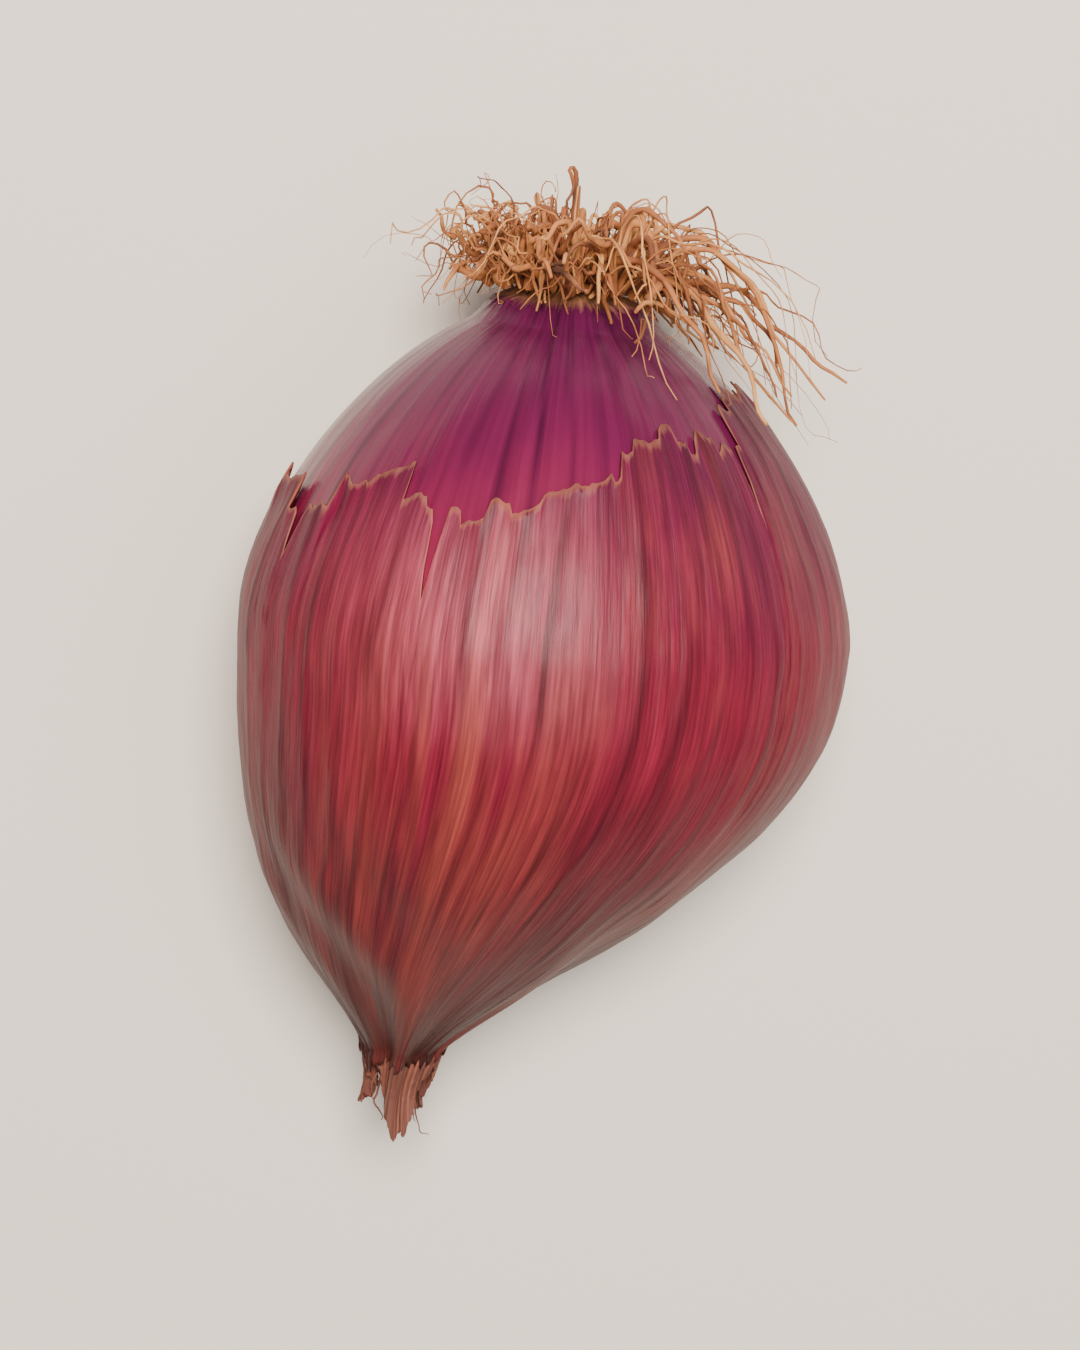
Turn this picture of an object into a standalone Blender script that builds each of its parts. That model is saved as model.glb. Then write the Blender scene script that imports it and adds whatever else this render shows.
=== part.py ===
import math
import random

import bmesh
import bpy

# A red shallot lying on its side, in metres: roots towards -X, neck towards +X, resting at Z = 0.
MM = 0.001

# The spindle that the dry skin wraps. "Along" is the distance from the basal plate towards the neck.
WIDEST_RADIUS = 15.0 * MM
WIDEST_AT = 16.0 * MM
ROOT_END_POWER = 1.6
ROOT_END_ROUNDING = 0.56
SHOULDER_POWER = 2.3
SHOULDER_TAPER = 1.2
NECK_AT = 38.5 * MM
NECK_RADIUS = 2.1 * MM
NECK_TIP_AT = 41.0 * MM
NECK_THINNING = 0.3
NECK_ROUND = 1.2 * MM
LOBE_DEPTH = 0.014
LOBES = 3
LOBE_TURN = math.radians(50)
HEIGHT_ABOVE = 0.95
HEIGHT_BELOW = 0.89

# The neck leans to one side and droops a little
LEAN_FROM = 18.0 * MM
LEAN_TO = 42.0 * MM
NECK_LEAN = -5.4 * MM
NECK_DROOP = -1.2 * MM

# Placing: the basal plate's X, and how far the belly is cut back to the spot that it rests on
BASE_X = -18.45 * MM
CENTRE_Y = -0.13 * MM
REST_CUT = 0.9 * MM

# The bulb inside the dry skin
SKIN_THICKNESS = 0.3 * MM
GAP = 0.3 * MM
STEEPEST = 2
PLATE_RADIUS = 4.3 * MM
PLATE_RISE = 0.6 * MM
BULB_SEGMENTS = 48
BULB_RINGS = 36

# The dry skin: torn off along a slanting line near the roots, split along the underside
SKIN_FROM = 8.4 * MM
SKIN_SLANT = 3.0 * MM
SKIN_TEAR = 0.5 * MM
SKIN_TO = 38.2 * MM
SPLIT_HALF_ANGLE = math.radians(30)
SKIN_COLUMNS = 44
SKIN_ROWS = 22

# The dried leaf tips round the end of the neck
LEAF_FROM = 38.6 * MM
LEAF_LENGTHS = (4.0 * MM, 3.0 * MM, 3.5 * MM)
LEAF_HALF_ANGLE = math.radians(46)
LEAF_TIP_HALF_ANGLE = math.radians(12)
LEAF_FLARE = 0.6 * MM
LEAF_FIRST_ANGLE = math.radians(75)
LEAF_COLUMNS = 6
LEAF_ROWS = 8

# The dried roots, in two rings on the basal plate
ROOT_RADIUS = 0.32 * MM
ROOT_POINTS = 9
INNER_ROOTS = 6
INNER_RING = 1.5 * MM
OUTER_ROOTS = 14
OUTER_RING = 3.2 * MM
ROOT_SEED = 5

SKIN_COLOUR = (0.30, 0.045, 0.040, 1)
BULB_COLOUR = (0.22, 0.022, 0.060, 1)
LEAF_COLOUR = (0.36, 0.085, 0.060, 1)
ROOT_COLOUR = (0.42, 0.22, 0.085, 1)


def clear_scene():
    for leftover in list(bpy.data.objects):
        bpy.data.objects.remove(leftover)


def new_collection(name):
    collection = bpy.data.collections.new(name)
    bpy.context.scene.collection.children.link(collection)
    return collection


def new_material(name, colour, roughness):
    material = bpy.data.materials.new(name)
    material.use_nodes = True
    shader = material.node_tree.nodes["Principled BSDF"]
    shader.inputs["Base Color"].default_value = colour
    shader.inputs["Roughness"].default_value = roughness
    shader.inputs["Metallic"].default_value = 0
    return material


def smooth(share):
    share = min(1, max(0, share))
    return share * share * (3 - 2 * share)


def radius_at(along):
    """Radius of the dry skin's outside, before lobes and flattening."""
    if along < WIDEST_AT:
        return WIDEST_RADIUS * (1 - (1 - along / WIDEST_AT) ** ROOT_END_POWER) ** ROOT_END_ROUNDING
    reach = min(1, (along - WIDEST_AT) / (NECK_AT - WIDEST_AT))
    body = (WIDEST_RADIUS - NECK_RADIUS) * (1 - reach ** SHOULDER_POWER) ** SHOULDER_TAPER
    thinning = NECK_THINNING * smooth((along - NECK_AT) / (NECK_TIP_AT - NECK_AT))
    return body + NECK_RADIUS * (1 - thinning)


def slope_at(along):
    step = 0.05 * MM
    along = max(along, step)
    return (radius_at(along + step) - radius_at(along - step)) / (2 * step)


def rest_height():
    """Height of the bulb's axis over the surface that it rests on."""
    return (WIDEST_RADIUS - SKIN_THICKNESS - GAP) * HEIGHT_BELOW - REST_CUT


def point_on(along, around, radius):
    """A point this far from the bulb's leaning axis. Around is the angle from +Y towards +Z."""
    lean = smooth((along - LEAN_FROM) / (LEAN_TO - LEAN_FROM))
    up = math.sin(around)
    height = HEIGHT_ABOVE if up > 0 else HEIGHT_BELOW
    swell = smooth(radius / WIDEST_RADIUS * 2)
    lobed = radius * (1 + LOBE_DEPTH * swell * math.cos(LOBES * around + LOBE_TURN))
    flattened = 1 + (height - 1) * swell
    return (
        BASE_X + along,
        CENTRE_Y + lean * NECK_LEAN + lobed * math.cos(around),
        rest_height() + lean * NECK_DROOP + lobed * up * flattened,
    )


def point_under_skin(along, around, depth):
    """A point this deep under the dry skin's outside, measured square to it."""
    steepness = math.hypot(1, slope_at(along))
    return point_on(along, around, radius_at(along) - depth * steepness)


def add_mesh_object(name, mesh_builder, material, collection):
    mesh = bpy.data.meshes.new(name)
    mesh_builder.to_mesh(mesh)
    mesh_builder.free()
    mesh.materials.append(material)
    mesh.shade_smooth()
    piece = bpy.data.objects.new(name, mesh)
    collection.objects.link(piece)
    return piece


def bulb_radius(along):
    """Radius of the bulb inside the dry skin, closed in a round tip at the neck."""
    radius = radius_at(along)
    steepness = min(STEEPEST, math.hypot(1, slope_at(along)))
    radius -= (SKIN_THICKNESS + GAP) * steepness * smooth(along / MM)
    past_round = max(0, (along - NECK_TIP_AT + NECK_ROUND) / NECK_ROUND)
    return radius * math.sqrt(max(0, 1 - past_round**2))


def bulb_point(pole_angle, around):
    """A point of the bulb, counted from its root end by an angle from 0 to pi, as on a sphere."""
    if pole_angle < math.pi / 2:
        along = WIDEST_AT * (1 - math.cos(pole_angle))
    else:
        along = WIDEST_AT + (NECK_TIP_AT - WIDEST_AT) * (pole_angle / (math.pi / 2) - 1)
    radius = bulb_radius(along)
    on_plate = pole_angle < math.pi / 2 and radius < PLATE_RADIUS
    return point_on(along - PLATE_RISE * on_plate, around, radius)


def make_rest_cutter(collection):
    """A block under the bulb, whose top is the surface that the bulb rests on."""
    side = 4 * WIDEST_RADIUS
    builder = bmesh.new()
    bmesh.ops.create_cube(builder, size=side)
    mesh = bpy.data.meshes.new("rest_cutter")
    builder.to_mesh(mesh)
    builder.free()
    cutter = bpy.data.objects.new("rest_cutter", mesh)
    cutter.location = (BASE_X + WIDEST_AT, CENTRE_Y, -side / 2)
    cutter.hide_render = True
    cutter.display_type = "WIRE"
    collection.objects.link(cutter)
    return cutter


def make_bulb(material, parts, cutters):
    """Bulb, basal plate and neck: one sphere drawn out to the shallot's form."""
    builder = bmesh.new()
    bmesh.ops.create_uvsphere(builder, u_segments=BULB_SEGMENTS, v_segments=BULB_RINGS, radius=1)
    for vertex in builder.verts:
        around = math.atan2(vertex.co.y, vertex.co.x)
        pole_angle = math.acos(min(1, max(-1, vertex.co.z)))
        vertex.co = bulb_point(pole_angle, around)
    bmesh.ops.recalc_face_normals(builder, faces=builder.faces)
    bulb = add_mesh_object("bulb", builder, material, parts)
    cut = bulb.modifiers.new("rest_spot", "BOOLEAN")
    cut.operation = "DIFFERENCE"
    cut.solver = "EXACT"
    cut.object = make_rest_cutter(cutters)
    return bulb


def skin_edge(around):
    """Where the dry skin is torn off, as a distance from the basal plate."""
    tear = math.sin(9 * around) + 0.6 * math.sin(14 * around + 1.3)
    return SKIN_FROM - SKIN_SLANT * math.cos(around) + SKIN_TEAR * tear


def make_sheet(name, columns, rows, place, material, collection):
    """A sheet of skin, whose outside is place(across, up), both from 0 to 1."""
    builder = bmesh.new()
    bmesh.ops.create_grid(builder, x_segments=columns, y_segments=rows, size=0.5)
    for vertex in builder.verts:
        vertex.co = place(vertex.co.x + 0.5, vertex.co.y + 0.5)
    sheet = add_mesh_object(name, builder, material, collection)
    thicken = sheet.modifiers.new("thickness", "SOLIDIFY")
    thicken.thickness = SKIN_THICKNESS
    thicken.offset = -1
    return sheet


def make_outer_skin(material, parts):
    underside = -math.pi / 2

    def place(across, up):
        turn = SPLIT_HALF_ANGLE + across * 2 * (math.pi - SPLIT_HALF_ANGLE)
        around = underside + turn
        edge = skin_edge(around)
        return point_under_skin(edge + up * (SKIN_TO - edge), around, 0)

    return make_sheet("outer_skin", SKIN_COLUMNS, SKIN_ROWS, place, material, parts)


def make_neck_leaf(number, length, material, parts):
    middle = LEAF_FIRST_ANGLE + number * math.tau / len(LEAF_LENGTHS)

    def place(across, up):
        half_angle = LEAF_HALF_ANGLE + (LEAF_TIP_HALF_ANGLE - LEAF_HALF_ANGLE) * up**1.5
        around = middle + (across * 2 - 1) * half_angle
        along = LEAF_FROM + up * length
        return point_on(along, around, radius_at(along) + LEAF_FLARE * up * up)

    name = f"neck_leaf_{number + 1}"
    return make_sheet(name, LEAF_COLUMNS, LEAF_ROWS, place, material, parts)


def root_path(ring, around, reach, rise, curl):
    """Points of a root: out of the basal plate, then sideways, then curling back."""
    start = PLATE_RISE + GAP
    for step in range(ROOT_POINTS):
        share = step / (ROOT_POINTS - 1)
        height = start + rise * math.sin(share * curl) / math.sin(min(curl, math.pi / 2))
        yield point_on(-height, around, ring + (reach - ring) * share**1.4)


def make_root(number, path, material, parts):
    name = f"root_{number:02d}"
    curve = bpy.data.curves.new(name, "CURVE")
    curve.dimensions = "3D"
    curve.bevel_depth = ROOT_RADIUS
    curve.bevel_resolution = 2
    curve.use_fill_caps = True
    points = list(path)
    spline = curve.splines.new("POLY")
    spline.points.add(len(points) - 1)
    for point, place in zip(spline.points, points):
        point.co = (*place, 1)
    curve.materials.append(material)
    root = bpy.data.objects.new(name, curve)
    parts.objects.link(root)
    return root


def make_roots(material, parts):
    chance = random.Random(ROOT_SEED)
    paths = []
    for step in range(INNER_ROOTS):
        around = step * math.tau / INNER_ROOTS
        reach = INNER_RING + chance.uniform(1.0, 2.2) * MM
        rise = chance.uniform(3.2, 4.6) * MM
        paths.append(root_path(INNER_RING, around, reach, rise, math.radians(90)))
    for step in range(OUTER_ROOTS):
        around = (step + 0.5) * math.tau / OUTER_ROOTS
        reach = (9.3 + 2.6 * math.cos(around) + chance.uniform(-1, 1)) * MM
        rise = chance.uniform(1.6, 3.4) * MM
        curl = math.radians(chance.uniform(110, 190))
        paths.append(root_path(OUTER_RING, around, reach, rise, curl))
    for number, path in enumerate(paths, 1):
        make_root(number, path, material, parts)


def main():
    clear_scene()
    parts = new_collection("shallot")
    cutters = new_collection("cutters")
    make_bulb(new_material("inner_skin", BULB_COLOUR, 0.35), parts, cutters)
    make_outer_skin(new_material("dry_skin", SKIN_COLOUR, 0.45), parts)
    leaf_material = new_material("dried_leaf", LEAF_COLOUR, 0.6)
    for number, length in enumerate(LEAF_LENGTHS):
        make_neck_leaf(number, length, leaf_material, parts)
    make_roots(new_material("dried_root", ROOT_COLOUR, 0.8), parts)


main()
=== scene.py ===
import math

import bpy
from mathutils import Matrix, Vector


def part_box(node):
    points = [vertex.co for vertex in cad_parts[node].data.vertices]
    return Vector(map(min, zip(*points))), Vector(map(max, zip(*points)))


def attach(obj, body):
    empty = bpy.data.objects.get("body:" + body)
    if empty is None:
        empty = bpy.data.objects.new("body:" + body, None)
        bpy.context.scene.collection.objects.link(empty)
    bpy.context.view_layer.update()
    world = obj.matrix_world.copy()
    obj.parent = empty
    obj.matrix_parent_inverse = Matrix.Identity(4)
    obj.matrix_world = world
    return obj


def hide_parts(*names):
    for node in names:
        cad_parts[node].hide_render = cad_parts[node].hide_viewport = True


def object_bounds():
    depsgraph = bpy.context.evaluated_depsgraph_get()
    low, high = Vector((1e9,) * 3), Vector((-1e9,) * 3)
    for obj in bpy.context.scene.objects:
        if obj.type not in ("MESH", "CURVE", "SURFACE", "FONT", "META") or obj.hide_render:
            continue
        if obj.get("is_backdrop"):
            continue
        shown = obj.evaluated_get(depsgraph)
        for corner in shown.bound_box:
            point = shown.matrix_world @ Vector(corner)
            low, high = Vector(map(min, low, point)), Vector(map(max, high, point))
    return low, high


mm = 0.001
rangeNode = "ShaderNodeMapRange"
noiseNode = "ShaderNodeTexNoise"
mixNode = "ShaderNodeMix"
combineNode = "ShaderNodeCombineXYZ"
splitNode = "ShaderNodeSeparateXYZ"
randomNode = "FunctionNodeRandomValue"


def hexColour(code):  # sRGB hex to the linear colour that a shader takes
    parts = [int(code[i:i + 2], 16) / 255 for i in (0, 2, 4)]
    return (*[p / 12.92 if p <= 0.04045 else ((p + 0.055) / 1.055) ** 2.4 for p in parts], 1)


def pickSocket(sockets, name):  # by its number, or the first one of that name in use
    if isinstance(name, int):
        return sockets[name]
    return next((s for s in sockets if s.enabled and s.name == name), None)


def addNode(tree, kind, settings=None):  # a value is set, and a node or socket is linked
    node = tree.nodes.new(kind)
    for name, value in (settings or {}).items():
        if isinstance(value, bpy.types.Node):
            value = next(s for s in value.outputs if s.enabled)
        socket = pickSocket(node.inputs, name)
        if isinstance(value, bpy.types.NodeSocket):
            tree.links.new(value, socket)
        elif name == "stops":
            ramp = node.color_ramp.elements
            while len(ramp) < len(value):
                ramp.new(0.5)
            for stop, (place, colour) in zip(ramp, value):
                stop.position = place
                stop.color = hexColour(colour)
        elif socket is not None:
            socket.default_value = value
        else:
            setattr(node, name, value)
    return node


def calc(tree, operation, *values):  # a math node
    return addNode(tree, "ShaderNodeMath", {"operation": operation, **dict(enumerate(values))})


def newTree(name, sockets):  # an empty Geometry Nodes tree with these named inputs
    tree = bpy.data.node_groups.new(name, "GeometryNodeTree")
    tree.is_modifier = True
    for label, kind in sockets:
        tree.interface.new_socket(label, in_out="INPUT", socket_type="NodeSocket" + kind)
    tree.interface.new_socket("Result", in_out="OUTPUT", socket_type="NodeSocketGeometry")
    return tree


def growPiece(name, tree, values, thickness=0):  # runs a tree and keeps its result as a plain mesh
    piece = bpy.data.objects.new(name, bpy.data.meshes.new(name))
    bpy.context.scene.collection.objects.link(piece)
    growth = piece.modifiers.new("growth", "NODES")
    growth.node_group = tree
    sockets = {s.name: s.identifier for s in tree.interface.items_tree if s.in_out == "INPUT"}
    for label, value in values.items():
        growth[sockets[label]] = value
    if thickness:
        wall = piece.modifiers.new("wall", "SOLIDIFY")
        wall.thickness = thickness
        wall.offset = -1
    graph = bpy.context.evaluated_depsgraph_get()
    grown = bpy.data.meshes.new_from_object(piece.evaluated_get(graph), depsgraph=graph)
    piece.modifiers.clear()
    spare, piece.data = piece.data, grown
    bpy.data.meshes.remove(spare)
    grown.name = name
    print("grown", name, len(grown.polygons), "faces")
    return piece


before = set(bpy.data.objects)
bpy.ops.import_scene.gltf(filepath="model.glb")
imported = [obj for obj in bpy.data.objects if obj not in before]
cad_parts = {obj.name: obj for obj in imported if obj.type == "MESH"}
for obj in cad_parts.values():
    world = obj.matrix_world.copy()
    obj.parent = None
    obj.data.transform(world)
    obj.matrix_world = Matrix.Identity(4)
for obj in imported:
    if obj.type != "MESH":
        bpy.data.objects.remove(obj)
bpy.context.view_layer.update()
bulbLow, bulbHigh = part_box("bulb")
skinLow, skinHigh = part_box("outer_skin")

# The spindle that every layer wraps, in millimetres: "along" runs from the basal plate to the neck
plateRise = 0.6
spindle = {
    "widest": (skinHigh.y - skinLow.y) / 2 / mm,
    "widestAt": 16.0,
    "rootPower": 1.6,
    "rootRounding": 0.56,
    "shoulderPower": 2.3,
    "shoulderTaper": 1.2,
    "neckAt": 38.5,
    "neckRadius": 2.1,
    "neckTip": (bulbHigh.x - bulbLow.x) / mm - plateRise,
    "neckThinning": 0.3,
    "lobes": 3,
    "lobeDepth": 0.014,
    "lobeTurn": math.radians(50),
    "heightAbove": 0.95,
    "heightBelow": 0.89,
    "leanFrom": 18.0,
    "leanTo": 42.0,
    "lean": -5.4,
    "droop": -1.2,
    "baseX": bulbLow.x / mm + plateRise,
    "middleY": (skinHigh.y + skinLow.y) / 2 / mm - 0.13,
    "axisHeight": 11.92,
}
print("frame loaded, widest radius", round(spindle["widest"], 2), "mm")


# ---- layers of the bulb ----
cracks = (  # where the dry skin has split along a vein: angle in degrees, depth and half width
    (38, 3.4, 1.4),
    (112, 4.6, 1.6),
    (151, 2.6, 1.9),
    (214, 4.0, 1.5),
    (318, 3.2, 1.6),
)
tears = ((4.6, 1.5), (1.7, 0.55))  # how wide and how high the steps of a torn edge are
folds = {  # lengths in millimetres
    "veinWander": 9,
    "veinSharpness": 5,
    "pleatsFrom": 22,
    "pleatsTo": 38,
    "winding": 1.1,  # radians that the pleats wind round the neck
    "waves": ((7, 0.4, 0.6), (11, 2.0, 0.4), (2, 0.9, 0.5)),  # count round the neck, turn, share
    "crinklesPerMm": 0.3,
    "curlWidth": 2.2,
    "curlPower": 2.4,
    "closingLength": 1.2,  # over which a closed tip rounds off
    "plateFrom": 3.6,
    "plateTo": 4.9,
    "restSoftness": 0.5,
}


def buildLayerTree():  # one layer wrapped round the spindle, worked out in millimetres
    s = spindle
    f = folds
    tree = newTree("wrappedLayer", (
        ("Columns", "Int"), ("Rows", "Int"), ("Row Spacing", "Float"),
        ("Middle Angle", "Float"), ("Half Angle", "Float"), ("Tip Width", "Float"),
        ("Side Tear", "Float"),
        ("Starts At", "Float"), ("Slant", "Float"), ("Tear", "Float"), ("Step Tear", "Float"),
        ("Crack Depth", "Float"),
        ("Ends At", "Float"), ("End Tear", "Float"), ("Closes At", "Float"),
        ("Lift", "Float"), ("Edge Curl", "Float"), ("Tip Flare", "Float"),
        ("Vein Count", "Int"), ("Vein Height", "Float"), ("Pleat Depth", "Float"),
        ("Crinkle", "Float"), ("Plate Rise", "Float"), ("Floor", "Float"),
        ("Seed", "Float"), ("Material", "Material"),
    ))
    given = addNode(tree, "NodeGroupInput").outputs
    grid = addNode(tree, "GeometryNodeMeshGrid", {
        "Size X": 2, "Size Y": 1, "Vertices X": given["Columns"], "Vertices Y": given["Rows"]})
    place = addNode(tree, splitNode, {0: addNode(tree, "GeometryNodeInputPosition")})
    up = calc(tree, "ADD", place.outputs["Y"], 0.5)

    # angle round the spindle, from +Y towards +Z, drawn in towards the tip of a leaf
    upCurved = calc(tree, "POWER", up, 1.5)
    narrowed = addNode(tree, rangeNode, {
        "Value": upCurved, "To Min": 1, "To Max": given["Tip Width"]})
    sideRoom = addNode(tree, combineNode, {
        "X": calc(tree, "SIGN", place.outputs["X"]),
        "Y": calc(tree, "MULTIPLY", up, 4), "Z": given["Seed"]})
    sideTorn = addNode(tree, noiseNode, {
        "Vector": sideRoom, "Scale": 1.7, "Detail": 6, "Roughness": 0.6})
    sideBy = addNode(tree, rangeNode, {
        "Value": sideTorn, "clamp": False, "From Min": 0.5, "From Max": 1,
        "To Max": given["Side Tear"]})
    outer = calc(tree, "POWER", place.outputs["X"], 2)
    widened = calc(tree, "MULTIPLY_ADD", sideBy, outer, 1)
    narrowed = calc(tree, "MULTIPLY", narrowed, widened)
    across = calc(tree, "MULTIPLY", place.outputs["X"], narrowed)
    around = calc(tree, "MULTIPLY_ADD", across, given["Half Angle"], given["Middle Angle"])
    # and the same all along a column, for what its edge does
    evenAround = calc(
        tree, "MULTIPLY_ADD", place.outputs["X"], given["Half Angle"], given["Middle Angle"])
    cosine = calc(tree, "COSINE", around)
    sine = calc(tree, "SINE", around)
    ringY = calc(tree, "MULTIPLY", cosine, s["widest"])
    ringZ = calc(tree, "MULTIPLY", sine, s["widest"])
    rim = addNode(tree, combineNode, {"X": ringY, "Y": ringZ, "Z": given["Seed"]})

    # torn edge towards the roots, with splits along the veins
    torn = addNode(tree, noiseNode, {"Vector": rim, "Scale": 0.24, "Detail": 7, "Roughness": 0.62})
    tornBy = addNode(tree, rangeNode, {
        "Value": torn, "clamp": False, "From Min": 0.5, "From Max": 1, "To Max": given["Tear"]})
    for width, height in tears:
        rimTurn = calc(tree, "MULTIPLY_ADD", evenAround, s["widest"] / width, given["Seed"])
        step = addNode(tree, "ShaderNodeTexVoronoi", {
            "voronoi_dimensions": "1D", "W": rimTurn, "Scale": 1}).outputs["Color"]
        step = addNode(tree, rangeNode, {
            "Value": step, "From Min": 0.25, "From Max": 0.75, "To Min": -height, "To Max": height})
        tornBy = calc(tree, "MULTIPLY_ADD", step, given["Step Tear"], tornBy)
    slant = calc(tree, "MULTIPLY", cosine, given["Slant"])
    edge = calc(tree, "SUBTRACT", given["Starts At"], slant)
    edge = calc(tree, "ADD", edge, tornBy)
    for angle, depth, halfWidth in cracks:
        away = calc(tree, "SUBTRACT", evenAround, math.radians(angle))
        away = calc(tree, "ABSOLUTE", away)
        opened = addNode(tree, rangeNode, {
            "Value": away, "From Max": math.radians(halfWidth), "To Min": depth, "To Max": 0})
        edge = calc(tree, "MULTIPLY_ADD", opened, given["Crack Depth"], edge)
    farRim = addNode(tree, combineNode, {"X": ringZ, "Y": ringY, "Z": given["Seed"]})
    endTorn = addNode(tree, noiseNode, {
        "Vector": farRim, "Scale": 0.35, "Detail": 6, "Roughness": 0.6})
    endBy = addNode(tree, rangeNode, {
        "Value": endTorn, "clamp": False, "From Min": 0.5, "From Max": 1,
        "To Max": given["End Tear"]})
    ends = calc(tree, "ADD", given["Ends At"], endBy)
    spaced = calc(tree, "POWER", up, given["Row Spacing"])
    along = addNode(tree, rangeNode, {
        "Value": spaced, "clamp": False, "To Min": edge, "To Max": ends})
    peel = addNode(tree, combineNode, {"X": ringY, "Y": ringZ, "Z": along})

    # radius of the spindle
    toWidest = addNode(tree, rangeNode, {
        "Value": along, "From Max": s["widestAt"], "To Min": 1, "To Max": 0})
    bow = calc(tree, "POWER", toWidest, s["rootPower"])
    bow = calc(tree, "SUBTRACT", 1, bow)
    rootEnd = calc(tree, "POWER", bow, s["rootRounding"])
    toNeck = addNode(tree, rangeNode, {
        "Value": along, "From Min": s["widestAt"], "From Max": s["neckAt"]})
    fall = calc(tree, "POWER", toNeck, s["shoulderPower"])
    fall = calc(tree, "SUBTRACT", 1, fall)
    body = calc(tree, "POWER", fall, s["shoulderTaper"])
    thinned = addNode(tree, rangeNode, {
        "Value": along, "interpolation_type": "SMOOTHSTEP", "From Min": s["neckAt"],
        "From Max": s["neckTip"], "To Min": s["neckRadius"],
        "To Max": s["neckRadius"] * (1 - s["neckThinning"])})
    swollen = calc(tree, "SUBTRACT", s["widest"], s["neckRadius"])
    swollen = calc(tree, "MULTIPLY_ADD", swollen, body, thinned)
    spread = calc(tree, "MULTIPLY", swollen, rootEnd)
    pastRound = calc(tree, "SUBTRACT", given["Closes At"], f["closingLength"])
    pastRound = addNode(tree, rangeNode, {
        "Value": along, "From Min": pastRound, "From Max": given["Closes At"]})
    closing = calc(tree, "POWER", pastRound, 2)
    closing = calc(tree, "SUBTRACT", 1, closing)
    closing = calc(tree, "SQRT", closing)

    # ribs along the veins, uneven from one vein to the next
    meander = addNode(tree, noiseNode, {"Vector": peel, "Scale": 0.09, "Detail": 2})
    veinTurn = calc(tree, "MULTIPLY", around, given["Vein Count"])
    veinTurn = calc(tree, "MULTIPLY_ADD", meander, f["veinWander"], veinTurn)
    veinWave = calc(tree, "COSINE", veinTurn)
    veinRise = addNode(tree, rangeNode, {"Value": veinWave, "From Min": -1, "From Max": 1})
    veinRise = calc(tree, "POWER", veinRise, f["veinSharpness"])
    lengthwise = addNode(tree, "ShaderNodeVectorMath", {
        "operation": "MULTIPLY", 0: peel, 1: (1, 1, 0.16)})
    unevenness = addNode(tree, noiseNode, {"Vector": lengthwise, "Scale": 0.45, "Detail": 2})
    strength = addNode(tree, rangeNode, {"Value": unevenness, "From Min": 0.35, "From Max": 0.68})
    vein = calc(tree, "MULTIPLY", veinRise, strength)
    ribs = calc(tree, "MULTIPLY", vein, given["Vein Height"])

    # pleats that gather towards the neck and wind round it a little
    gathered = addNode(tree, rangeNode, {
        "Value": along, "interpolation_type": "SMOOTHSTEP",
        "From Min": f["pleatsFrom"], "From Max": f["pleatsTo"]})
    winding = calc(tree, "MULTIPLY", gathered, f["winding"])
    wound = calc(tree, "ADD", around, winding)
    pleats = None
    for count, turn, share in f["waves"]:
        fold = calc(tree, "MULTIPLY_ADD", wound, count, turn)
        fold = calc(tree, "COSINE", fold)
        pleats = calc(tree, "MULTIPLY_ADD", fold, share, pleats or 0)
    pleats = calc(tree, "MULTIPLY", pleats, gathered)
    pleats = calc(tree, "MULTIPLY", pleats, given["Pleat Depth"])

    # crinkles of dry skin, the curl of its torn edge and the flare of a leaf's tip
    folded = addNode(tree, "ShaderNodeVectorMath", {
        "operation": "MULTIPLY", 0: peel, 1: (1, 1, 0.45)})
    crinkle = addNode(tree, noiseNode, {
        "Vector": folded, "Scale": f["crinklesPerMm"], "Detail": 4, "Roughness": 0.55})
    crinkle = addNode(tree, rangeNode, {
        "Value": crinkle, "clamp": False, "From Min": 0.5, "From Max": 1,
        "To Max": given["Crinkle"]})
    fromEdge = calc(tree, "SUBTRACT", along, edge)
    curl = addNode(tree, rangeNode, {
        "Value": fromEdge, "From Max": f["curlWidth"], "To Min": 1, "To Max": 0})
    curl = calc(tree, "POWER", curl, f["curlPower"])
    loose = addNode(tree, noiseNode, {"Vector": rim, "Scale": 0.32, "Detail": 1})
    loose = addNode(tree, rangeNode, {"Value": loose, "From Min": 0.42, "From Max": 0.68})
    curl = calc(tree, "MULTIPLY", curl, loose)
    curl = calc(tree, "MULTIPLY", curl, given["Edge Curl"])
    flare = calc(tree, "POWER", up, 2)
    flare = calc(tree, "MULTIPLY", flare, given["Tip Flare"])

    lobe = calc(tree, "MULTIPLY_ADD", around, s["lobes"], s["lobeTurn"])
    lobe = calc(tree, "COSINE", lobe)
    lobe = calc(tree, "MULTIPLY_ADD", lobe, s["lobeDepth"], 1)
    radius = calc(tree, "MULTIPLY_ADD", spread, lobe, given["Lift"])
    for relief in (ribs, pleats, crinkle, curl, flare):
        radius = calc(tree, "ADD", radius, relief)
    radius = calc(tree, "MULTIPLY", radius, closing)
    radius = calc(tree, "MAXIMUM", radius, 0)

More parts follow.
